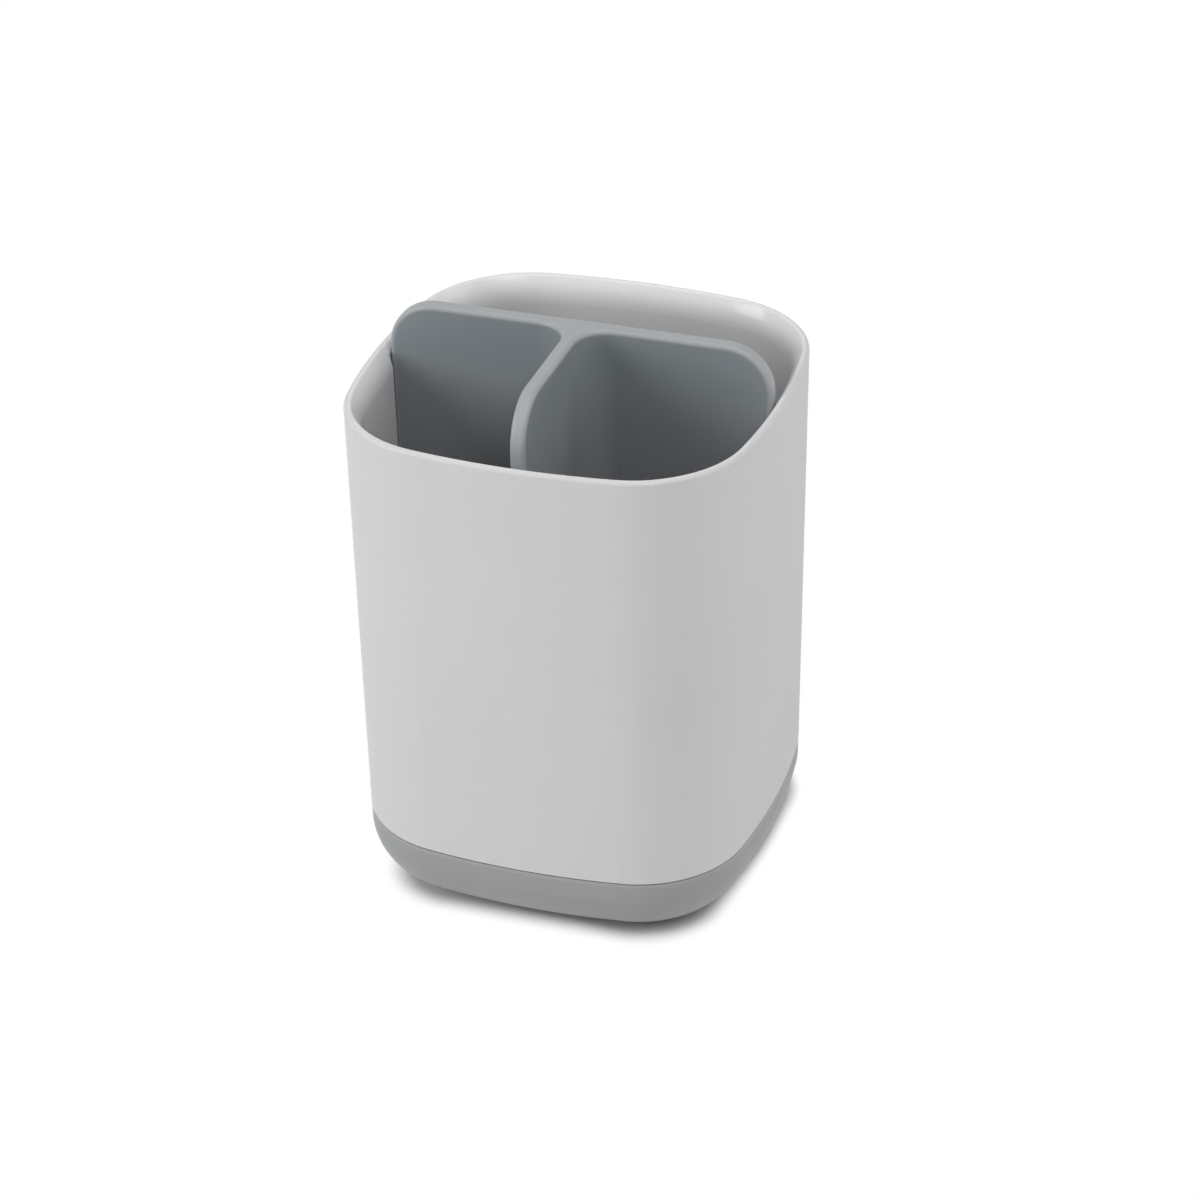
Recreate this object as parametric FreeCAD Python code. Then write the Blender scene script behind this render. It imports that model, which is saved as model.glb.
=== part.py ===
import FreeCAD, Part
import math
import os

# Toothbrush holder: a tapered sleeve on a tray-like base, with a lift-out T-shaped divider.
# Millimetres. The origin is on the table under the centre, +Z up, the wide compartment at +Y.

# Plan of the sleeve at its rim: a square with rounded corners and gently bowed sides
rim_half_width = 46.0
corner_radius = 26.0
side_radius = 160.0

# Sleeve
sleeve_height = 99.7
draft_angle = 0.77
sleeve_wall = 3.5
crest_radius = 0.9
flare_radius = 9.1
lip_wall = 1.5

# Base
seam_height = 17.0
seam_gap = 0.25
base_step = 0.1
base_side = 2.75
floor_thickness = 2.6
upstand_height = 9.0
upstand_wall = 2.0
upstand_clearance = 0.3
upstand_gap = 0.3
edge_round = 0.2
lead_in = 0.5

# Drain slots in the base's floor
slot_width = 3.0
slot_length = 16.0
slot_pitch = 5.0
slots_each_side = 2
slot_start = 7.0

# Feet
foot_radius = 5.5
foot_lift = 0.8
foot_recess = 0.8
foot_clearance = 0.15
foot_edge_round = 0.4
foot_margin = 1.5

# Divider
plate_thickness = 3.5
wall_thickness = 3.3
divider_rise = 11.2
divider_round = 10.5
divider_edge_round = 1.0
junction_radius = 7.0
plate_front = -0.7
front_gap = 2.7
side_clearance = 0.3
shoulder_gap = 0.2

# Guide channels in the sleeve's left and right walls: a groove, with ribs beside it lower down
groove_depth = 0.9
guide_reach = 2.0
guide_rib = 1.6
guide_depth = 45.0
guide_lead = 4.0
guide_floor = 2.0
guide_clearance = 0.3

# How far a cutting shape runs past what it cuts, and a joined shape into what it joins
overrun = 1.0

# Heights and places that follow from the sizes above
rim_height = seam_height + sleeve_height
lean = math.tan(math.radians(draft_angle))
lip_in = sleeve_height * lean + lip_wall
base_out = sleeve_height * lean + base_step
upstand_out = lip_in + upstand_clearance
upstand_in = upstand_out + upstand_wall
shoulder_height = seam_height - seam_gap
base_round = shoulder_height - foot_lift - base_side
round_in = base_out + base_round
inner_round = round_in - upstand_in
upstand_top = shoulder_height + upstand_height
ceiling_height = upstand_top + upstand_gap
floor_height = foot_lift + floor_thickness
inner_round_height = floor_height + inner_round
guide_seat = ceiling_height + guide_floor
guide_top = rim_height - guide_depth
plate_back = plate_front + plate_thickness
wall_reach = rim_half_width - sleeve_wall - front_gap
divider_top = rim_height + divider_rise

side_centre = rim_half_width - side_radius
arc_gap = side_radius - corner_radius
corner_centre = (side_centre + math.sqrt(2.0 * arc_gap ** 2 - side_centre ** 2)) / 2.0

ORIGIN = FreeCAD.Vector(0.0, 0.0, 0.0)
UP = FreeCAD.Vector(0.0, 0.0, 1.0)


def outer_inset(height):
    """How far the sleeve's outer face stands in from the rim's outline at a height."""
    return (rim_height - height) * lean


def inner_half(height):
    """Half the sleeve's inner width at a height."""
    return rim_half_width - outer_inset(height) - sleeve_wall


def plan_arcs():
    """The eight arcs of the rim's outline: centre, radius, start angle and turn in degrees."""
    half_side = math.degrees(math.atan2(corner_centre, corner_centre - side_centre))
    arcs = []
    for quarter in range(4):
        heading = 90.0 * quarter
        side = FreeCAD.Vector(side_centre, 0.0, 0.0)
        corner = FreeCAD.Vector(corner_centre, corner_centre, 0.0)
        spin = FreeCAD.Rotation(UP, heading)
        arcs.append((spin.multVec(side), side_radius, heading - half_side, 2.0 * half_side))
        arcs.append((spin.multVec(corner), corner_radius, heading + half_side, 90.0 - 2.0 * half_side))
    return arcs


def plan_plate(inset, bottom, top):
    """A flat plate with the rim's outline drawn in by an inset."""
    edges = []
    for centre, radius, start, turn in plan_arcs():
        at = centre + UP * bottom
        edges.append(Part.makeCircle(radius - inset, at, UP, start, start + turn))
    return Part.Face(Part.Wire(edges)).extrude(UP * (top - bottom))


def rounded_edges(corners, place):
    """Edges of a closed outline. Each corner is (a, b, radius), and place(a, b) gives its point in space."""
    count = len(corners)
    ends = []
    for index, (a, b, radius) in enumerate(corners):
        before = corners[index - 1]
        after = corners[(index + 1) % count]
        point = FreeCAD.Vector(a, b, 0.0)
        back = (FreeCAD.Vector(before[0], before[1], 0.0) - point).normalize()
        ahead = (FreeCAD.Vector(after[0], after[1], 0.0) - point).normalize()
        half = back.getAngle(ahead) / 2.0
        reach = radius / math.tan(half)
        inward = (back + ahead).normalize()
        middle = point + inward * (radius / math.sin(half) - radius)
        ends.append((point + back * reach, middle, point + ahead * reach, radius))
    edges = []
    for index, (first, middle, last, radius) in enumerate(ends):
        if radius > 0.0:
            arc = Part.Arc(place(first.x, first.y), place(middle.x, middle.y), place(last.x, last.y))
            edges.append(arc.toShape())
        start = place(last.x, last.y)
        end = place(ends[(index + 1) % count][0].x, ends[(index + 1) % count][0].y)
        if start.distanceToPoint(end) > Part.Precision.confusion():
            edges.append(Part.makeLine(start, end))
    return edges


def joined(pieces):
    """One solid from pieces that touch or overlap."""
    return pieces[0].multiFuse(pieces[1:]).removeSplitter().Solids[0]


def swept_ring(section_edges):
    """A section carried round the rim's outline. section_edges(place) draws it in (inset, height)."""
    pieces = []
    for centre, radius, start, turn in plan_arcs():
        edges = section_edges(lambda inset, height: FreeCAD.Vector(radius - inset, 0.0, height))
        face = Part.Face(Part.Wire(edges))
        face.rotate(ORIGIN, UP, start)
        face.translate(centre)
        pieces.append(face.revolve(centre, UP, turn))
    return joined(pieces)


def sleeve_section(place):
    """Cross-section of the sleeve's wall: drafted faces, a small crest and a soft flare into the mouth."""
    slope = math.radians(draft_angle)
    crest = FreeCAD.Vector(crest_radius / math.cos(slope) + crest_radius * lean, rim_height - crest_radius, 0.0)
    # The flare's arc is tangent to the inner face and to the crest's arc
    offset = sleeve_wall - flare_radius / math.cos(slope) - crest.x
    a = 1.0 + lean ** 2
    b = 2.0 * offset * lean - 2.0 * crest_radius
    c = offset ** 2 + crest_radius ** 2 - (flare_radius - crest_radius) ** 2
    drop = (-b + math.sqrt(b ** 2 - 4.0 * a * c)) / (2.0 * a)
    flare = FreeCAD.Vector(crest.x + offset + drop * lean, rim_height - drop, 0.0)
    meet = math.atan2(crest.y - flare.y, crest.x - flare.x)

    def around(centre, radius, angle):
        return centre + FreeCAD.Vector(math.cos(angle), math.sin(angle), 0.0) * radius

    def arc(centre, radius, first, last):
        points = [around(centre, radius, angle) for angle in (first, (first + last) / 2.0, last)]
        return Part.Arc(*[place(point.x, point.y) for point in points]).toShape()

    outer_angle = math.pi + slope
    edge_centre = FreeCAD.Vector(outer_inset(seam_height) + edge_round, seam_height + edge_round, 0.0)
    outer_foot = around(edge_centre, edge_round, outer_angle)
    outer_top = around(crest, crest_radius, outer_angle)
    inner_top = around(flare, flare_radius, slope)
    ceiling_in = outer_inset(ceiling_height) + sleeve_wall
    corners = [
        (inner_top.x, inner_top.y),
        (ceiling_in, ceiling_height),
        (lip_in, ceiling_height),
        (lip_in, seam_height + lead_in),
        (lip_in - lead_in, seam_height),
        (edge_centre.x, seam_height),
    ]
    edges = [
        Part.makeLine(place(outer_foot.x, outer_foot.y), place(outer_top.x, outer_top.y)),
        arc(crest, crest_radius, outer_angle, meet),
        arc(flare, flare_radius, meet, slope),
    ]
    for first, last in zip(corners, corners[1:]):
        edges.append(Part.makeLine(place(*first), place(*last)))
    edges.append(arc(edge_centre, edge_round, 1.5 * math.pi, outer_angle))
    return edges


def guide_channel(side):
    """Two upright ribs and a closed foot inside one side wall, for the divider's edge. side is -1 or 1."""

    def inner(height, reach):
        return side * (inner_half(height) - reach)

    def place(x, z):
        return FreeCAD.Vector(x, 0.0, z)

    rib = [
        (inner(ceiling_height, guide_reach), ceiling_height, 0.0),
        (inner(guide_top - guide_lead, guide_reach), guide_top - guide_lead, 0.0),
        (inner(guide_top, 0.0), guide_top, 0.0),
        (inner(guide_top, -lip_wall), guide_top, 0.0),
        (inner(ceiling_height, -lip_wall), ceiling_height, 0.0),
    ]
    foot = [
        (inner(ceiling_height, guide_reach), ceiling_height, 0.0),
        (inner(guide_seat, guide_reach), guide_seat, 0.0),
        (inner(guide_seat, -lip_wall), guide_seat, 0.0),
        (inner(ceiling_height, -lip_wall), ceiling_height, 0.0),
    ]
    front = plate_front - guide_clearance - guide_rib
    back = plate_back + guide_clearance
    pieces = []
    for outline, start, width in (
        (rib, front, guide_rib),
        (rib, back, guide_rib),
        (foot, front, back + guide_rib - front),
    ):
        face = Part.Face(Part.Wire(rounded_edges(outline, place)))
        piece = face.extrude(FreeCAD.Vector(0.0, width, 0.0))
        piece.translate(FreeCAD.Vector(0.0, start, 0.0))
        pieces.append(piece)
    return pieces


def guide_groove(side):
    """Cutting shape of the groove in one side wall, open at the top. side is -1 or 1."""
    top = rim_height + overrun
    outline = [
        (side * (inner_half(guide_seat) + groove_depth), guide_seat, 0.0),
        (side * (inner_half(top) + groove_depth), top, 0.0),
        (side * (inner_half(top) - guide_reach - overrun), top, 0.0),
        (side * (inner_half(guide_seat) - guide_reach - overrun), guide_seat, 0.0),
    ]
    start = plate_front - guide_clearance
    face = Part.Face(Part.Wire(rounded_edges(outline, lambda x, z: FreeCAD.Vector(x, start, z))))
    return face.extrude(FreeCAD.Vector(0.0, plate_thickness + 2.0 * guide_clearance, 0.0))


def make_sleeve():
    """The outer sleeve with its guide channels."""
    body = joined([swept_ring(sleeve_section)] + guide_channel(-1) + guide_channel(1))
    return body.cut([guide_groove(-1), guide_groove(1)]).Solids[0]


def base_section(place):
    """Cross-section of the base's side: shoulder, upstand, inward curve and the edge of the floor."""
    core_in = round_in + overrun
    corners = [
        (base_out, shoulder_height, edge_round),
        (base_out, foot_lift, base_round),
        (core_in, foot_lift, 0.0),
        (core_in, floor_height, 0.0),
        (upstand_in, floor_height, inner_round),
        (upstand_in, upstand_top - lead_in, 0.0),
        (upstand_in - lead_in, upstand_top, 0.0),
        (upstand_out + lead_in, upstand_top, 0.0),
        (upstand_out, upstand_top - lead_in, 0.0),
        (upstand_out, shoulder_height, 0.0),
    ]
    return rounded_edges(corners, place)


def drain_slot(x, start, end):
    """Cutting shape of one round-ended slot that runs along Y."""
    half = slot_width / 2.0
    corners = [
        (x - half, start, half),
        (x + half, start, half),
        (x + half, end, half),
        (x - half, end, half),
    ]

    def place(a, b):
        return FreeCAD.Vector(a, b, foot_lift - overrun)

    face = Part.Face(Part.Wire(rounded_edges(corners, place)))
    return face.extrude(UP * (floor_thickness + 2.0 * overrun))


def drain_slots():
    """Slots behind the divider's plate and on both sides of its wall, clear of both."""
    cuts = []
    for column in range(-slots_each_side, slots_each_side + 1):
        x = column * slot_pitch
        cuts.append(drain_slot(x, plate_back + slot_start, plate_back + slot_start + slot_length))
        if column != 0:
            cuts.append(drain_slot(x, plate_front - slot_start - slot_length, plate_front - slot_start))
    return cuts


def foot_place():
    """How far each foot's centre lies from the middle, along X and along Y."""
    reach = corner_radius - round_in - foot_radius - foot_margin
    return corner_centre + reach * math.sqrt(0.5)


def foot_centres():
    """Node name and centre of each foot."""
    place = foot_place()
    return {
        "foot_front_left": (-place, -place),
        "foot_front_right": (place, -place),
        "foot_rear_left": (-place, place),
        "foot_rear_right": (place, place),
    }


def make_base():
    """The base: curved side, floor with slots, upstand for the sleeve and recesses for the feet."""
    floor = plan_plate(round_in, foot_lift, floor_height)
    body = joined([swept_ring(base_section), floor])
    cuts = drain_slots()
    for x, y in foot_centres().values():
        at = FreeCAD.Vector(x, y, foot_lift - overrun)
        cuts.append(Part.makeCylinder(foot_radius + foot_clearance, foot_recess + overrun, at))
    return body.cut(cuts).Solids[0]


def make_foot(x, y):
    """A round pad with a softened lower edge."""
    pad = Part.makeCylinder(foot_radius, foot_lift + foot_recess, FreeCAD.Vector(x, y, 0.0))
    lower = [edge for edge in pad.Edges if edge.BoundBox.ZMax < foot_lift]
    return pad.makeFillet(foot_edge_round, lower)


def divider_plan():
    """Plan of the divider: the plate across, the wall forward, and rounded inner corners between them."""
    half = wall_thickness / 2.0
    width = rim_half_width
    corners = [
        (-width, plate_back, 0.0),
        (-width, plate_front, 0.0),
        (-half, plate_front, junction_radius),
        (-half, -wall_reach - overrun, 0.0),
        (half, -wall_reach - overrun, 0.0),
        (half, plate_front, junction_radius),
        (width, plate_front, 0.0),
        (width, plate_back, 0.0),
    ]

    def place(a, b):
        return FreeCAD.Vector(a, b, 0.0)

    face = Part.Face(Part.Wire(rounded_edges(corners, place)))
    return face.extrude(UP * (divider_top + overrun))


def sharp_edges(solid, lowest):
    """Edges above a height where two faces meet at an angle."""
    found = []
    for edge in solid.Edges:
        middle = edge.valueAt((edge.FirstParameter + edge.LastParameter) / 2.0)
        if middle.z < lowest:
            continue
        faces = solid.ancestorsOfType(edge, Part.Face)
        normals = [face.normalAt(*face.Surface.parameter(middle)) for face in faces]
        if normals[0].getAngle(normals[1]) > math.radians(20.0):
            found.append(edge)
    return found


def make_divider():
    """The divider: its plan, trimmed to its front outline and to its side outline, with softened edges."""
    shoulder = guide_seat + shoulder_gap
    low_half = inner_half(ceiling_height) - guide_reach - upstand_clearance
    low_round = low_half - (rim_half_width - round_in)
    bottom = inner_round_height - low_round

    def edge_at(height):
        return inner_half(height) + groove_depth - side_clearance

    right = [
        (low_half, bottom, low_round),
        (low_half, shoulder, 0.0),
        (edge_at(shoulder), shoulder, 0.0),
        (edge_at(divider_top), divider_top, divider_round),
    ]
    left = [(-x, z, radius) for x, z, radius in reversed(right)]
    across = rounded_edges(right + left, lambda x, z: FreeCAD.Vector(x, -rim_half_width, z))
    front_view = Part.Face(Part.Wire(across)).extrude(FreeCAD.Vector(0.0, 2.0 * rim_half_width, 0.0))
    along = [
        (-wall_reach, bottom, low_round),
        (plate_back, bottom, 0.0),
        (plate_back, divider_top, 0.0),
        (-wall_reach, divider_top, divider_round),
    ]
    sideways = rounded_edges(along, lambda y, z: FreeCAD.Vector(-rim_half_width, y, z))
    side_view = Part.Face(Part.Wire(sideways)).extrude(FreeCAD.Vector(2.0 * rim_half_width, 0.0, 0.0))
    body = divider_plan().common(front_view).common(side_view).removeSplitter().Solids[0]
    return body.makeFillet(divider_edge_round, sharp_edges(body, shoulder + divider_edge_round))


def main():
    """Builds every piece and writes one file each."""
    nodes = {
        "outer_sleeve": make_sleeve(),
        "base": make_base(),
        "divider": make_divider(),
    }
    for name, (x, y) in foot_centres().items():
        nodes[name] = make_foot(x, y)
    os.makedirs("parts", exist_ok=True)
    for name, shape in nodes.items():
        shape.exportStep("parts/" + name + ".step")
        box = shape.BoundBox
        print(name, "solids", len(shape.Solids), "valid", shape.isValid(), "volume", round(shape.Volume, 1))
        print("  box", [round(v, 2) for v in (box.XMin, box.XMax, box.YMin, box.YMax, box.ZMin, box.ZMax)])


main()
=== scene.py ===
"""Looks of the toothbrush holder: its finishes, its feet, the floor, the light and the camera."""

import logging
import math
from abc import ABC, abstractmethod
from dataclasses import dataclass
from enum import Enum
from typing import ClassVar, Protocol

import bpy
from mathutils import Matrix, Vector

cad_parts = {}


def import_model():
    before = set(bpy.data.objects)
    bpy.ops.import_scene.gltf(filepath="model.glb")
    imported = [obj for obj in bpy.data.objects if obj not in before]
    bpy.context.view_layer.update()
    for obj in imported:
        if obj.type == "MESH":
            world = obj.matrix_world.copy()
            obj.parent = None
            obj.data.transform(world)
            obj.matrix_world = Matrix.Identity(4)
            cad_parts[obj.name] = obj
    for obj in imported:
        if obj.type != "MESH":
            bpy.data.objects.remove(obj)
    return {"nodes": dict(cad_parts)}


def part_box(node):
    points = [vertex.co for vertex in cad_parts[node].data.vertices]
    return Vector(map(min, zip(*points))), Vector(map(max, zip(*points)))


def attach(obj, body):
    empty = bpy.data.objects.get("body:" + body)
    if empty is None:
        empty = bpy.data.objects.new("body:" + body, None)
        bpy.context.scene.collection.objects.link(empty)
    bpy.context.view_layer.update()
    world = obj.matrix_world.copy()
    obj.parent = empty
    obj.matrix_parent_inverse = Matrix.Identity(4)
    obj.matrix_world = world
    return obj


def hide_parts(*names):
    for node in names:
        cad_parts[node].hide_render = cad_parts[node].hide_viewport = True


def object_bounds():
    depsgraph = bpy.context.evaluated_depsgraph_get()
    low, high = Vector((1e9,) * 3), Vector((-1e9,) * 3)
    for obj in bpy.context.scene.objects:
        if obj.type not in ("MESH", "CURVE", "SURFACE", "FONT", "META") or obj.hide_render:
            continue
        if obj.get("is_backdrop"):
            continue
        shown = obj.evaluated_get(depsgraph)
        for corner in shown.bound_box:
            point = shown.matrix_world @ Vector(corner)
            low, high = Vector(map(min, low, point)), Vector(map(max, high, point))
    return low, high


LOG = logging.getLogger("toothbrush_holder")

Colour = tuple[float, float, float]
Pair = tuple[float, float]
Pieces = dict[str, bpy.types.Object]
Socket = bpy.types.NodeSocket

WHITE: Colour = (1.0, 1.0, 1.0)


class Body(Enum):
    """Parts of the holder that move as one."""

    BASE = "base"
    SLEEVE = "sleeve"
    DIVIDER = "divider"


class Step(Enum):
    """How a mask runs from one value to the other."""

    LINEAR = "LINEAR"
    SMOOTH = "SMOOTHSTEP"


class Mix(Enum):
    """What a Mix node mixes: its data type, the places of its two inputs and that of its result."""

    NUMBER = ("FLOAT", 2, 3, 0)
    COLOUR = ("RGBA", 6, 7, 2)


# Shader building


@dataclass(frozen=True)
class Wiring:
    """Adds nodes to one node tree and joins them, so that a finish reads as a list of steps."""

    tree: bpy.types.NodeTree

    def add(self, kind: str, **settings: object) -> bpy.types.Node:
        """Adds a node.

        Args:
            kind: The node's type name.
            settings: Attributes to set on the node.

        Returns:
            The new node.
        """
        node = self.tree.nodes.new(kind)
        for name, value in settings.items():
            setattr(node, name, value)
        return node

    def feed(self, target: Socket, source: object) -> None:
        """Joins a socket to an input, or writes a plain value on it.

        Args:
            target: The input socket.
            source: An output socket, or a number, a vector or a colour.
        """
        if isinstance(source, bpy.types.NodeSocket):
            self.tree.links.new(source, target)
        elif target.type == "RGBA":
            target.default_value = (*source, 1.0)
        else:
            target.default_value = source

    def fill(self, node: bpy.types.Node, inputs: dict[str, object]) -> bpy.types.Node:
        """Feeds inputs of a node by name.

        Args:
            node: The node.
            inputs: What each input gets, a socket or a value.

        Returns:
            The same node.
        """
        for name, source in inputs.items():
            self.feed(node.inputs[name], source)
        return node

    def group(self, shared: "SharedGroup", inputs: dict[str, object]) -> bpy.types.Node:
        """Adds a shared group, with its inputs by name. The others keep the group's own values."""
        return self.fill(self.add("ShaderNodeGroup", node_tree=shared.tree()), inputs)

    def place(self) -> bpy.types.Node:
        """Adds the Object coordinates, and gives the node that splits them into X, Y and Z."""
        coordinates = self.add("ShaderNodeTexCoord")
        return self.fill(self.add("ShaderNodeSeparateXYZ"), {"Vector": coordinates.outputs["Object"]})

    def maths(self, operation: str, *values: object, clamp: bool = False) -> Socket:
        """Adds a Math node.

        Args:
            operation: Which sum it does.
            values: Its inputs, sockets or numbers.
            clamp: Whether the result stays from 0 to 1.

        Returns:
            The result's socket.
        """
        node = self.add("ShaderNodeMath", operation=operation, use_clamp=clamp)
        for socket, value in zip(node.inputs, values):
            self.feed(socket, value)
        return node.outputs["Value"]

    def vector_maths(self, operation: str, *values: object) -> bpy.types.Node:
        """Adds a Vector Math node.

        Args:
            operation: Which sum it does.
            values: Its inputs, sockets or vectors.

        Returns:
            The node, whose result is its output Vector or Value.
        """
        node = self.add("ShaderNodeVectorMath", operation=operation)
        for socket, value in zip(node.inputs, values):
            self.feed(socket, value)
        return node

    def remap(
        self,
        value: Socket,
        low: float,
        high: float,
        to_low: float,
        to_high: float,
        step: Step = Step.SMOOTH,
    ) -> Socket:
        """Adds a Map Range node.

        Args:
            value: What is mapped.
            low: The value that gives to_low.
            high: The value that gives to_high.
            to_low: The result at and below low.
            to_high: The result at and above high.
            step: How the result runs between them.

        Returns:
            The result's socket.
        """
        node = self.add("ShaderNodeMapRange", interpolation_type=step.value)
        limits = {"From Min": low, "From Max": high, "To Min": to_low, "To Max": to_high}
        return self.fill(node, {"Value": value, **limits}).outputs["Result"]

    def mix(self, kind: Mix, share: object, first: object, second: object, way: str = "MIX") -> Socket:
        """Adds a Mix node.

        Args:
            kind: Whether it mixes numbers or colours.
            share: How much of the second one shows.
            first: A value or a socket.
            second: A value or a socket.
            way: How the second one is laid over the first.

        Returns:
            The result's socket.
        """
        data_type, first_input, second_input, result = kind.value
        node = self.add("ShaderNodeMix", data_type=data_type, blend_type=way)
        self.feed(node.inputs[0], share)
        self.feed(node.inputs[first_input], first)
        self.feed(node.inputs[second_input], second)
        return node.outputs[result]

    def bump(self, height: Socket, strength: float, depth: float) -> Socket:
        """Adds a Bump node for a relief, its depth in metres, and gives the bent normal."""
        inputs = {"Strength": strength, "Distance": depth, "Height": height}
        return self.fill(self.add("ShaderNodeBump"), inputs).outputs["Normal"]


class SharedGroup(ABC):
    """A shader node group that several finishes share."""

    NAME: ClassVar[str]
    INPUTS: ClassVar[dict[str, float]]
    OUTPUTS: ClassVar[tuple[str, ...]]

    @abstractmethod
    def steps(self, wiring: Wiring, given: bpy.types.Node) -> dict[str, Socket]:
        """Builds what the group does to the given inputs, and names the socket for each output."""

    def tree(self) -> bpy.types.NodeTree:
        """The group's node tree, made on first use."""
        return bpy.data.node_groups.get(self.NAME) or self._make()

    def _make(self) -> bpy.types.NodeTree:
        """Builds the group with its inputs and outputs.

        Returns:
            The new node tree.
        """
        tree = bpy.data.node_groups.new(self.NAME, "ShaderNodeTree")
        for name, default in self.INPUTS.items():
            socket = tree.interface.new_socket(name, in_out="INPUT", socket_type="NodeSocketFloat")
            socket.default_value = default
        for name in self.OUTPUTS:
            tree.interface.new_socket(name, in_out="OUTPUT", socket_type="NodeSocketFloat")
        wiring = Wiring(tree)
        steps = self.steps(wiring, wiring.add("NodeGroupInput"))
        wiring.fill(wiring.add("NodeGroupOutput"), steps)
        return tree


@dataclass(frozen=True)
class MouldedSkin(SharedGroup):
    """The skin of a moulded piece: spark-eroded grain, a slow cloudiness and smears in its gloss."""

    NAME: ClassVar[str] = "moulded_skin"
    INPUTS: ClassVar[dict[str, float]] = {"Grain Scale": 5200.0, "Cloud Scale": 24.0, "Smear Scale": 60.0}
    OUTPUTS: ClassVar[tuple[str, ...]] = ("Grain", "Cloud", "Smear")

    pit_smoothness: float = 0.6
    pit_share: float = 0.6
    fine_scale: float = 0.45
    fine_detail: float = 2.0
    fine_share: float = 0.4
    cloud_detail: float = 3.0
    cloud_roughness: float = 0.55
    cloud_limits: Pair = (0.32, 0.68)
    smear_detail: float = 5.0
    smear_distortion: float = 1.4
    smear_limits: Pair = (0.5, 0.78)

    def steps(self, wiring: Wiring, given: bpy.types.Node) -> dict[str, Socket]:
        """Builds the grain, the cloudiness and the smears.

        Args:
            wiring: The group's node tree.
            given: The node with the three scales.

        Returns:
            The sockets for Grain, Cloud and Smear.
        """
        grain_scale = given.outputs["Grain Scale"]
        place = wiring.add("ShaderNodeTexCoord").outputs["Object"]
        pits = wiring.fill(
            wiring.add("ShaderNodeTexVoronoi", feature="SMOOTH_F1"),
            {"Vector": place, "Scale": grain_scale, "Smoothness": self.pit_smoothness},
        )
        fine = self._noise(
            wiring,
            {
                "Vector": place,
                "Scale": wiring.maths("MULTIPLY", grain_scale, self.fine_scale),
                "Detail": self.fine_detail,
            },
        )
        cloud = self._noise(
            wiring,
            {
                "Vector": place,
                "Scale": given.outputs["Cloud Scale"],
                "Detail": self.cloud_detail,
                "Roughness": self.cloud_roughness,
            },
        )
        smear = self._noise(
            wiring,
            {
                "Vector": place,
                "Scale": given.outputs["Smear Scale"],
                "Detail": self.smear_detail,
                "Distortion": self.smear_distortion,
            },
        )
        fine = wiring.maths("MULTIPLY", fine, self.fine_share)
        return {
            "Grain": wiring.maths("MULTIPLY_ADD", pits.outputs["Distance"], self.pit_share, fine),
            "Cloud": wiring.remap(cloud, *self.cloud_limits, 0.0, 1.0, Step.LINEAR),
            "Smear": wiring.remap(smear, *self.smear_limits, 0.0, 1.0),
        }

    def _noise(self, wiring: Wiring, inputs: dict[str, object]) -> Socket:
        """Adds a Noise Texture node, with its inputs by name, and gives its value."""
        return wiring.fill(wiring.add("ShaderNodeTexNoise"), inputs).outputs["Fac"]


class HeightBand(SharedGroup):
    """A mask that is 1 at one height and fades to 0 a reach above and below it."""

    NAME: ClassVar[str] = "height_band"
    INPUTS: ClassVar[dict[str, float]] = {"Height": 0.1, "Reach": 0.002}
    OUTPUTS: ClassVar[tuple[str, ...]] = ("Mask",)

    def steps(self, wiring: Wiring, given: bpy.types.Node) -> dict[str, Socket]:
        """Builds the mask.

        Args:
            wiring: The group's node tree.
            given: The node with the height and the reach.

        Returns:
            The socket for Mask.
        """
        away = wiring.maths("SUBTRACT", wiring.place().outputs["Z"], given.outputs["Height"])
        away = wiring.maths("ABSOLUTE", away)
        share = wiring.maths("DIVIDE", away, given.outputs["Reach"], clamp=True)
        return {"Mask": wiring.remap(share, 0.0, 1.0, 1.0, 0.0)}


def new_material(name: str) -> tuple[bpy.types.Material, Wiring, bpy.types.Node]:
    """Makes a material with one Principled shader.

    Args:
        name: The material's name.

    Returns:
        The material, the wiring of its node tree, and its shader.
    """
    material = bpy.data.materials.new(name)
    material.use_nodes = True
    return material, Wiring(material.node_tree), material.node_tree.nodes["Principled BSDF"]


# Masks


class Mask(Protocol):
    """Marks a part of a piece's surface."""

    def socket(self, wiring: Wiring) -> Socket:
        """Adds the mask to a material, and gives a value that is 1 on that part and 0 elsewhere."""


@dataclass(frozen=True)
class EdgeMask:
    """Marks what lies near one height, such as a shoulder."""

    height: float
    reach: float

    def socket(self, wiring: Wiring) -> Socket:
        """Adds the mask to a material, and gives its value."""
        return wiring.group(HeightBand(), {"Height": self.height, "Reach": self.reach}).outputs["Mask"]


@dataclass(frozen=True)
class LipMask(EdgeMask):
    """Marks the thin flare inside the mouth, where the sleeve's painted glow shows: full just inside the
    crest and fading downwards.
    """

    facing_in: float = -0.3
    facing_out: float = 0.4

    def socket(self, wiring: Wiring) -> Socket:
        """Adds the mask to a material.

        Args:
            wiring: The material's node tree.

        Returns:
            The mask's socket.
        """
        coordinates = wiring.add("ShaderNodeTexCoord")
        level = wiring.vector_maths("MULTIPLY", coordinates.outputs["Object"], (1.0, 1.0, 0.0))
        away = wiring.vector_maths("NORMALIZE", level.outputs["Vector"])
        facing = wiring.vector_maths("DOT_PRODUCT", away.outputs["Vector"], coordinates.outputs["Normal"])
        inside = wiring.remap(facing.outputs["Value"], self.facing_in, self.facing_out, 1.0, 0.0)
        return wiring.maths("MULTIPLY", super().socket(wiring), inside)


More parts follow.
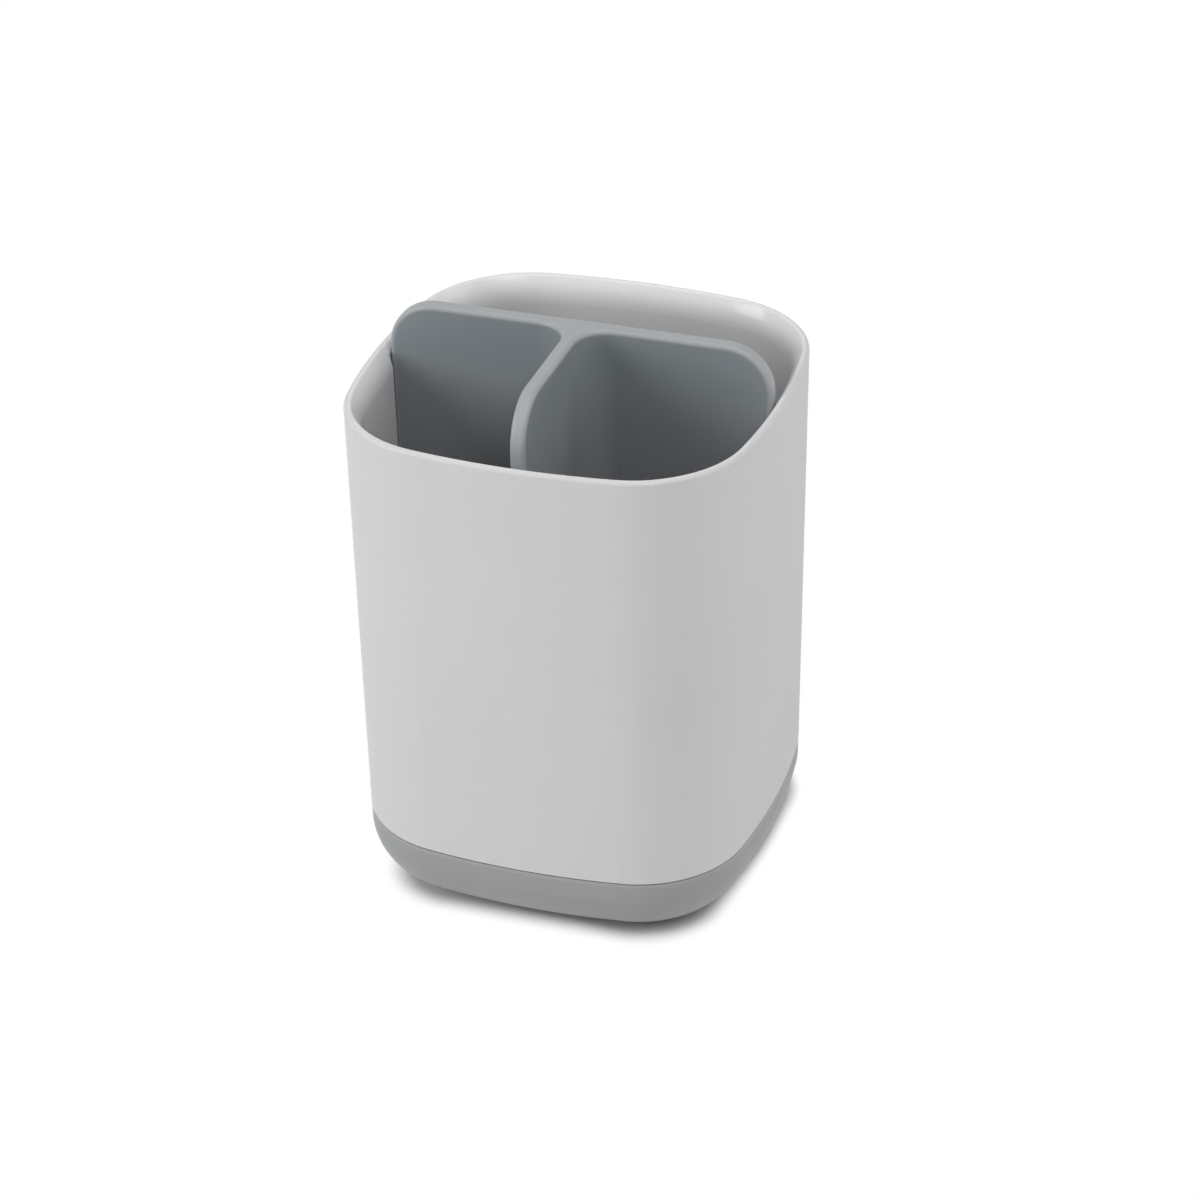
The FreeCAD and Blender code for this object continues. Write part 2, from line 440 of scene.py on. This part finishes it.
@dataclass(frozen=True)
class OutlineMask:
    """Marks the divider's rounded top and front edges, where its painted highlight shows, by how near a
    point is to its outline.
    """

    half_width: float
    taper: float
    taper_height: float
    front_reach: float
    top: float
    corner: float
    full: float
    fade: float

    def socket(self, wiring: Wiring) -> Socket:
        """Adds the mask to a material.

        Args:
            wiring: The material's node tree.

        Returns:
            The mask's socket.
        """
        place = wiring.place()
        above = wiring.maths("SUBTRACT", place.outputs["Z"], self.taper_height)
        wide = wiring.maths("MULTIPLY_ADD", above, self.taper, self.half_width)
        side = wiring.maths("SUBTRACT", wiring.maths("ABSOLUTE", place.outputs["X"]), wide)
        ahead = wiring.maths("MULTIPLY", place.outputs["Y"], -1.0)
        front = wiring.maths("SUBTRACT", ahead, self.front_reach)
        upper = wiring.maths("SUBTRACT", place.outputs["Z"], self.top)
        corners = [self._corner(wiring, edge, upper) for edge in (side, front)]
        inside = wiring.maths("MULTIPLY", wiring.maths("MAXIMUM", *corners), -1.0)
        return wiring.remap(inside, self.full, self.fade, 1.0, 0.0)

    def _corner(self, wiring: Wiring, first: Socket, second: Socket) -> Socket:
        """Distance past two edges with a rounded corner between them, less than 0 inside.

        Args:
            wiring: The material's node tree.
            first: Distance past the first edge.
            second: Distance past the second edge.

        Returns:
            The distance's socket.
        """
        over = [wiring.maths("ADD", past, self.corner) for past in (first, second)]
        squares = [wiring.maths("POWER", wiring.maths("MAXIMUM", value, 0.0), 2.0) for value in over]
        outside = wiring.maths("SQRT", wiring.maths("ADD", *squares))
        inside = wiring.maths("MINIMUM", wiring.maths("MAXIMUM", *over), 0.0)
        return wiring.maths("SUBTRACT", wiring.maths("ADD", outside, inside), self.corner)


# Finishes


@dataclass(frozen=True)
class PaintedDepthShade:
    """A painted shade on a piece's lower part: a darker, less blue tint that grows from one height down
    to another, where the deep compartments lie in shade.
    """

    colour: Colour
    start: float
    full: float

    def over(self, wiring: Wiring, body: Socket) -> Socket:
        """Darkens a piece's own colour with the painted shade, and gives the shaded one."""
        depth = wiring.remap(wiring.place().outputs["Z"], self.full, self.start, 1.0, 0.0)
        return wiring.mix(Mix.COLOUR, depth, body, self.colour, "MULTIPLY")


@dataclass(frozen=True)
class MouldedPlastic:
    """Satin moulded plastic: fine grain, a faint cloudiness, and painted light on its edges, a paler
    colour that stands in for a highlight or a glow.
    """

    name: str
    colour: Colour
    cloud_colour: Colour
    painted_light_colour: Colour
    roughness: float
    smear_roughness: float
    edge_roughness: float
    specular: float
    depth_shade: PaintedDepthShade | None = None
    edge_coat: float = 0.0
    coat_roughness: float = 0.11
    grain_depth: float = 0.000012
    grain_strength: float = 0.35
    ior: float = 1.49

    def material(self, edge: Mask) -> bpy.types.Material:
        """Builds the finish.

        Args:
            edge: Where the painted light (the paler edge colour) and the edge's gloss show.

        Returns:
            The new material.
        """
        material, wiring, shader = new_material(self.name)
        mask = edge.socket(wiring)
        skin = wiring.group(MouldedSkin(), {})
        body = wiring.mix(Mix.COLOUR, skin.outputs["Cloud"], self.colour, self.cloud_colour)
        # painted shade lower down, where one is given
        if self.depth_shade:
            body = self.depth_shade.over(wiring, body)
        worn = wiring.remap(
            skin.outputs["Smear"], 0.0, 1.0, self.roughness, self.smear_roughness, Step.LINEAR
        )
        inputs = {
            # painted light: the masked part gets a paler colour that stands in for a highlight or a glow
            "Base Color": wiring.mix(Mix.COLOUR, mask, body, self.painted_light_colour),
            "Roughness": wiring.mix(Mix.NUMBER, mask, worn, self.edge_roughness),
            "Normal": wiring.bump(skin.outputs["Grain"], self.grain_strength, self.grain_depth),
            "IOR": self.ior,
            "Specular IOR Level": self.specular,
        }
        if self.edge_coat:
            inputs["Coat Weight"] = wiring.maths("MULTIPLY", mask, self.edge_coat)
            inputs["Coat Roughness"] = self.coat_roughness
        wiring.fill(shader, inputs)
        return material


@dataclass(frozen=True)
class FootRubber:
    """Matt moulded rubber with a dusty, slightly paler sole."""

    name: str = "foot_rubber"
    colour: Colour = (0.115, 0.115, 0.12)
    dust_colour: Colour = (0.24, 0.235, 0.23)
    roughness: float = 0.74
    cloud_roughness: float = 0.92
    sole_height: float = 0.0
    sole_reach: float = 0.0006
    grain_scale: float = 3000.0
    cloud_scale: float = 300.0
    smear_scale: float = 420.0
    grain_depth: float = 0.00003
    grain_strength: float = 0.5

    def material(self) -> bpy.types.Material:
        """Builds the finish.

        Returns:
            The new material.
        """
        material, wiring, shader = new_material(self.name)
        scales = {
            "Grain Scale": self.grain_scale,
            "Cloud Scale": self.cloud_scale,
            "Smear Scale": self.smear_scale,
        }
        skin = wiring.group(MouldedSkin(), scales)
        sole = EdgeMask(self.sole_height, self.sole_reach).socket(wiring)
        dust = wiring.maths("MULTIPLY", sole, skin.outputs["Smear"], clamp=True)
        inputs = {
            "Base Color": wiring.mix(Mix.COLOUR, dust, self.colour, self.dust_colour),
            "Roughness": wiring.remap(
                skin.outputs["Cloud"], 0.0, 1.0, self.roughness, self.cloud_roughness, Step.LINEAR
            ),
            "Normal": wiring.bump(skin.outputs["Grain"], self.grain_strength, self.grain_depth),
        }
        wiring.fill(shader, inputs)
        return material


# The holder's pieces


def dress(piece: bpy.types.Object, material: bpy.types.Material) -> None:
    """Puts one material on a whole piece.

    Args:
        piece: The object to dress.
        material: Its finish.
    """
    if not piece.material_slots:
        piece.data.materials.append(material)
    for slot in piece.material_slots:
        slot.material = material


@dataclass(frozen=True)
class OuterSleeve:
    """The tapered sleeve, pale grey and satin, with a painted glow: the flare in its mouth is painted
    paler, as if lit through its thin wall.
    """

    body: Body = Body.SLEEVE
    node: str = "outer_sleeve"
    rim_height: float = 0.1167
    lip_depth: float = 0.0085

    def build(self, nodes: Pieces) -> list[bpy.types.Object]:
        """Dresses the sleeve's own solid.

        Args:
            nodes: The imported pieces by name.

        Returns:
            The pieces that show.
        """
        finish = MouldedPlastic(
            name="sleeve_satin",
            colour=(0.645, 0.644, 0.650),
            cloud_colour=(0.656, 0.655, 0.660),
            # painted glow: the flare inside the mouth is painted much paler than the body
            painted_light_colour=(0.785, 0.784, 0.790),
            roughness=0.42,
            smear_roughness=0.47,
            edge_roughness=0.42,
            specular=0.16,
            edge_coat=0.5,
        )
        dress(nodes[self.node], finish.material(LipMask(self.rim_height, self.lip_depth)))
        return [nodes[self.node]]


@dataclass(frozen=True)
class TrayBase:
    """The base under the seam: a grey tray with a curved side and a painted highlight, a paler line,
    under its shoulder.
    """

    body: Body = Body.BASE
    node: str = "base"
    edge_height: float = 0.0163
    edge_reach: float = 0.00055

    def build(self, nodes: Pieces) -> list[bpy.types.Object]:
        """Dresses the base's own solid.

        Args:
            nodes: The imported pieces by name.

        Returns:
            The pieces that show.
        """
        finish = MouldedPlastic(
            name="base_satin",
            colour=(0.327, 0.338, 0.326),
            cloud_colour=(0.337, 0.348, 0.336),
            # painted highlight: a paler line along the shoulder just under the seam
            painted_light_colour=(0.372, 0.383, 0.373),
            roughness=0.44,
            smear_roughness=0.49,
            edge_roughness=0.38,
            specular=0.24,
        )
        dress(nodes[self.node], finish.material(EdgeMask(self.edge_height, self.edge_reach)))
        return [nodes[self.node]]


@dataclass(frozen=True)
class DividerInsert:
    """The lift-out divider, a cooler grey, with softly rounded edges that are painted paler as a
    highlight.
    """

    body: Body = Body.DIVIDER
    node: str = "divider"
    half_width: float = 0.0431
    taper: float = 0.01344
    rim_height: float = 0.1167
    wall_reach: float = 0.0398
    top_height: float = 0.1279
    corner_round: float = 0.0105
    edge_full: float = 0.0006
    edge_fade: float = 0.0015

    def build(self, nodes: Pieces) -> list[bpy.types.Object]:
        """Dresses the divider's own solid.

        Args:
            nodes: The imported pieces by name.

        Returns:
            The pieces that show.
        """
        finish = MouldedPlastic(
            name="divider_satin",
            colour=(0.244, 0.274, 0.287),
            cloud_colour=(0.254, 0.284, 0.297),
            # painted highlight: the rounded top and front edges are painted paler, as if lit from above
            painted_light_colour=(0.353, 0.376, 0.382),
            roughness=0.44,
            smear_roughness=0.49,
            edge_roughness=0.38,
            specular=0.30,
            # painted shade: the divider is painted darker and less blue lower down in the compartments
            depth_shade=PaintedDepthShade(colour=(0.945, 0.885, 0.88), start=0.118, full=0.100),
        )
        edge = OutlineMask(
            half_width=self.half_width,
            taper=self.taper,
            taper_height=self.rim_height,
            front_reach=self.wall_reach,
            top=self.top_height,
            corner=self.corner_round,
            full=self.edge_full,
            fade=self.edge_fade,
        )
        dress(nodes[self.node], finish.material(edge))
        return [nodes[self.node]]


@dataclass(frozen=True)
class FootSet:
    """Four rubber pads in the base's recesses, each with a ring groove in its sole."""

    body: Body = Body.BASE
    slot: str = "foot_rubber"
    radius: float = 0.0055
    height: float = 0.0016
    edge_round: float = 0.0004
    edge_steps: int = 4
    sharp_angle: float = 60.0
    smooth_angle: float = 35.0
    groove_radius: float = 0.0034
    groove_width: float = 0.0007
    groove_depth: float = 0.00035
    dish_width: float = 0.0017
    dish_depth: float = 0.000105
    steps_round: int = 72
    sole_slope: float = -0.9

    def build(self, nodes: Pieces) -> list[bpy.types.Object]:
        """Models one pad and copies it into each recess.

        Args:
            nodes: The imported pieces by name.

        Returns:
            The pieces that show.
        """
        pattern = self._pad()
        dress(pattern, FootRubber().material())
        made = []
        for node in sorted(name for name in nodes if name.startswith("foot_")):
            low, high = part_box(node)
            centre = Vector(((low.x + high.x) / 2, (low.y + high.y) / 2, 0.0))
            pad = pattern.copy()
            pad.data = pattern.data.copy()
            pad.name = node.replace("foot_", "pad_")
            bpy.context.scene.collection.objects.link(pad)
            pad.data.transform(Matrix.Translation(centre))
            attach(pad, self.body.value)
            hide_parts(node)
            made.append(pad)
        bpy.data.objects.remove(pattern)
        return made

    def _pad(self) -> bpy.types.Object:
        """Models one pad at the origin.

        Returns:
            The pad, with its place in its mesh.
        """
        bpy.ops.object.select_all(action="DESELECT")
        bpy.ops.mesh.primitive_cylinder_add(
            vertices=self.steps_round,
            radius=self.radius,
            depth=self.height,
            location=(0.0, 0.0, self.height / 2),
        )
        pad = bpy.context.object
        bpy.ops.object.transform_apply(location=True, rotation=True, scale=True)
        self._cut_sole(pad)
        bevel = pad.modifiers.new("soft_edge", "BEVEL")
        bevel.width = self.edge_round
        bevel.segments = self.edge_steps
        bevel.limit_method = "ANGLE"
        bevel.angle_limit = math.radians(self.sharp_angle)
        bpy.ops.object.modifier_apply(modifier=bevel.name)
        bpy.ops.object.shade_smooth_by_angle(angle=math.radians(self.smooth_angle))
        return pad

    def _cut_sole(self, pad: bpy.types.Object) -> None:
        """Cuts the ring groove and the shallow dish inside it.

        Args:
            pad: The pad, in object mode.
        """
        bpy.ops.object.mode_set(mode="EDIT")
        bpy.ops.mesh.select_all(action="DESELECT")
        bpy.ops.object.mode_set(mode="OBJECT")
        for face in pad.data.polygons:
            face.select = face.normal.z < self.sole_slope
        bpy.ops.object.mode_set(mode="EDIT")
        bpy.ops.mesh.select_mode(type="FACE")
        flank = self.groove_width / 2
        for thickness, depth in (
            (self.radius - self.groove_radius - self.groove_width, 0.0),
            (flank, -self.groove_depth),
            (flank, self.groove_depth),
            (self.dish_width, -self.dish_depth),
        ):
            bpy.ops.mesh.inset(thickness=thickness, depth=depth)
        bpy.ops.object.mode_set(mode="OBJECT")


# The studio


def direction(azimuth: float, elevation: float) -> Vector:
    """Direction out from the holder.

    Args:
        azimuth: Degrees to the right of the front.
        elevation: Degrees above the floor.

    Returns:
        A vector of length 1.
    """
    around, above = math.radians(azimuth), math.radians(elevation)
    level = math.cos(above)
    return Vector((math.sin(around) * level, -math.cos(around) * level, math.sin(above)))


def seen(wiring: Wiring, rays: bpy.types.Node) -> Socket:
    """Gives a value that is 1 for the rays that show what they meet, and 0 for those that only light."""
    direct = wiring.maths("MAXIMUM", rays.outputs["Is Camera Ray"], rays.outputs["Is Glossy Ray"])
    return wiring.maths("MAXIMUM", direct, rays.outputs["Is Transmission Ray"])


@dataclass(frozen=True)
class Lamp:
    """A square soft lamp that looks at the middle of the holder."""

    name: str
    azimuth: float
    elevation: float
    distance: float
    size: float
    power: float
    colour: Colour = WHITE

    def build(self, target: Vector) -> None:
        """Adds the lamp.

        Args:
            target: The point that it looks at.
        """
        way = direction(self.azimuth, self.elevation)
        light = bpy.data.lights.new(self.name, "AREA")
        light.shape = "SQUARE"
        light.size = self.size
        light.energy = self.power
        light.color = self.colour
        lamp = bpy.data.objects.new(self.name, light)
        bpy.context.scene.collection.objects.link(lamp)
        lamp.location = target + way * self.distance
        lamp.rotation_mode = "QUATERNION"
        lamp.rotation_quaternion = way.to_track_quat("Z", "Y")


@dataclass(frozen=True)
class Surround:
    """A white world that lights softly and shows at full strength."""

    light: float = 0.198
    shown: float = 1.0

    def build(self) -> None:
        """Makes the world and sets it on the scene."""
        world = bpy.data.worlds.new("surround")
        world.use_nodes = True
        bpy.context.scene.world = world
        wiring = Wiring(world.node_tree)
        soft = wiring.fill(
            world.node_tree.nodes["Background"], {"Color": WHITE, "Strength": self.light}
        )
        shown = wiring.fill(
            wiring.add("ShaderNodeBackground"), {"Color": WHITE, "Strength": self.shown}
        )
        mix = wiring.add("ShaderNodeMixShader")
        sources = (seen(wiring, wiring.add("ShaderNodeLightPath")), soft.outputs[0], shown.outputs[0])
        for socket, source in zip(mix.inputs, sources):
            wiring.feed(socket, source)
        wiring.fill(world.node_tree.nodes["World Output"], {"Surface": mix.outputs[0]})


@dataclass(frozen=True)
class Shade:
    """The holder's shade on the floor: a rounded rectangle with a soft edge.

    Away from the main lamp, at the azimuths from turn to back, it reaches farther and ends more sharply.
    """

    half: Pair = (0.0381, 0.0414)
    corner: float = 0.0182
    shift: float = -0.0008
    start: float = -0.0064
    end: float = 0.0011
    reach: float = 0.0084
    narrowing: float = 0.49
    turn: Pair = (12.0, 105.5)
    back: Pair = (125.0, 178.0)

    def clear(self, wiring: Wiring) -> Socket:
        """Where the floor is clear of the shade.

        Args:
            wiring: The floor's node tree.

        Returns:
            The socket of a mask from 0 in the shade to 1 past it.
        """
        place = wiring.place()
        ahead = wiring.maths("MULTIPLY", place.outputs["Y"], -1.0)
        around = wiring.maths("ARCTAN2", place.outputs["X"], ahead)
        turned = wiring.remap(around, *map(math.radians, self.turn), 0.0, 1.0)
        back = wiring.remap(around, *map(math.radians, self.back), 1.0, 0.0)
        turned = wiring.maths("MULTIPLY", turned, back)
        past = wiring.maths("SUBTRACT", self._distance(wiring, place), self.start)
        past = wiring.maths("MULTIPLY_ADD", turned, -self.reach, past)
        fade = self.end - self.start
        width = wiring.maths("MULTIPLY_ADD", turned, -fade * self.narrowing, fade)
        return wiring.remap(wiring.maths("DIVIDE", past, width), 0.0, 1.0, 0.0, 1.0)

    def _distance(self, wiring: Wiring, place: bpy.types.Node) -> Socket:
        """How far a point of the floor lies outside the rounded rectangle.

        Args:
            wiring: The floor's node tree.
            place: The node that gives the point's coordinates.

        Returns:
            The socket of the distance in metres.
        """
        squares = []
        for axis, half, shift in zip(("X", "Y"), self.half, (self.shift, 0.0)):
            away = wiring.maths("ABSOLUTE", wiring.maths("SUBTRACT", place.outputs[axis], shift))
            past = wiring.maths("SUBTRACT", away, half - self.corner)
            squares.append(wiring.maths("POWER", wiring.maths("MAXIMUM", past, 0.0), 2.0))
        return wiring.maths("SUBTRACT", wiring.maths("SQRT", wiring.maths("ADD", *squares)), self.corner)


@dataclass(frozen=True)
class Floor:
    """The floor, which keeps the shade close to the holder and shows as plain white past it."""

    shade: Shade = Shade()
    size: float = 6.0
    colour: Colour = (0.88, 0.88, 0.88)
    shade_colour: Colour = (0.702, 0.70, 0.702)
    roughness: float = 0.9
    specular: float = 0.0
    plain_light: float = 1.0

    def build(self) -> None:
        """Adds the floor to the stage."""
        bpy.ops.object.select_all(action="DESELECT")
        bpy.ops.mesh.primitive_plane_add(size=self.size, location=(0.0, 0.0, 0.0))
        floor = bpy.context.object
        floor.name = "floor"
        dress(floor, self._material())
        floor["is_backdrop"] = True

    def _material(self) -> bpy.types.Material:
        """Builds the floor's finish.

        Returns:
            The new material.
        """
        material, wiring, shader = new_material("floor_white")
        rays = wiring.add("ShaderNodeLightPath")
        shown = wiring.mix(Mix.COLOUR, rays.outputs["Is Camera Ray"], self.colour, self.shade_colour)
        inputs = {"Base Color": shown, "Roughness": self.roughness, "Specular IOR Level": self.specular}
        wiring.fill(shader, inputs)
        white = wiring.fill(wiring.add("ShaderNodeEmission"), {"Strength": self.plain_light})
        plain = wiring.maths("MULTIPLY", seen(wiring, rays), self.shade.clear(wiring))
        mix = wiring.add("ShaderNodeMixShader")
        for socket, source in zip(mix.inputs, (plain, shader.outputs[0], white.outputs[0])):
            wiring.feed(socket, source)
        wiring.fill(material.node_tree.nodes["Material Output"], {"Surface": mix.outputs[0]})
        return material


@dataclass(frozen=True)
class PhotoCamera:
    """The camera, standing where the photograph was taken from."""

    azimuth: float = 19.1696
    elevation: float = 30.5972
    roll: float = -1.0719
    place: tuple[float, float, float] = (0.242390, -0.686525, 0.490509)
    focal_length: float = 114.838
    sensor_width: float = 36.0
    nearest: float = 0.01
    farthest: float = 20.0

    def build(self) -> None:
        """Adds the camera and makes it the scene's own."""
        yaw, roll = math.radians(self.azimuth), math.radians(self.roll)
        back = direction(self.azimuth, self.elevation)
        level = Vector((math.cos(yaw), math.sin(yaw), 0.0))
        upright = back.cross(level)
        across = level * math.cos(roll) + upright * math.sin(roll)
        up = upright * math.cos(roll) - level * math.sin(roll)
        lens = bpy.data.cameras.new("camera")
        lens.lens = self.focal_length
        lens.sensor_width = self.sensor_width
        lens.clip_start = self.nearest
        lens.clip_end = self.farthest
        camera = bpy.data.objects.new("camera", lens)
        bpy.context.scene.collection.objects.link(camera)
        pose = Matrix((across, up, back)).transposed().to_4x4()
        pose.translation = Vector(self.place)
        camera.matrix_world = pose
        bpy.context.scene.camera = camera


@dataclass(frozen=True)
class Studio:
    """White floor and surround, soft lamps at both sides and above, and the camera."""

    target: Vector
    cool: Colour = (0.995, 0.998, 1.015)
    warm: Colour = (1.01, 0.99, 1.0)

    def build(self) -> None:
        """Builds the surround, the floor, the lamps and the camera."""
        Surround().build()
        Floor().build()
        for lamp in self._lamps():
            lamp.build(self.target)
        PhotoCamera().build()
        bpy.context.scene.view_settings.view_transform = "Standard"

    def _lamps(self) -> list[Lamp]:
        """The lamps: the main one on the left, one above and two on the right.

        Returns:
            One entry for each lamp.
        """
        return [
            Lamp(
                "side_left",
                azimuth=-52.0,
                elevation=24.0,
                distance=1.0,
                size=0.5,
                power=4.62,
                colour=self.cool,
            ),
            Lamp("overhead", azimuth=0.0, elevation=88.0, distance=1.1, size=0.9, power=2.85),
            Lamp(
                "front_right",
                azimuth=42.0,
                elevation=55.0,
                distance=1.1,
                size=0.5,
                power=3.77,
                colour=self.warm,
            ),
            Lamp(
                "right_back",
                azimuth=100.0,
                elevation=30.0,
                distance=1.0,
                size=0.5,
                power=2.01,
                colour=self.warm,
            ),
        ]


def main() -> None:
    logging.basicConfig(level=logging.INFO, format="%(message)s")
    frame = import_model()
    packed_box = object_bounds()
    for part in (TrayBase(), FootSet(), OuterSleeve(), DividerInsert()):
        for piece in part.build(frame["nodes"]):
            LOG.info("%s: %s rides on %s", type(part).__name__, piece.name, part.body.value)
    low, high = packed_box
    Studio(target=(low + high) / 2).build()


if __name__ == "__main__":
    main()
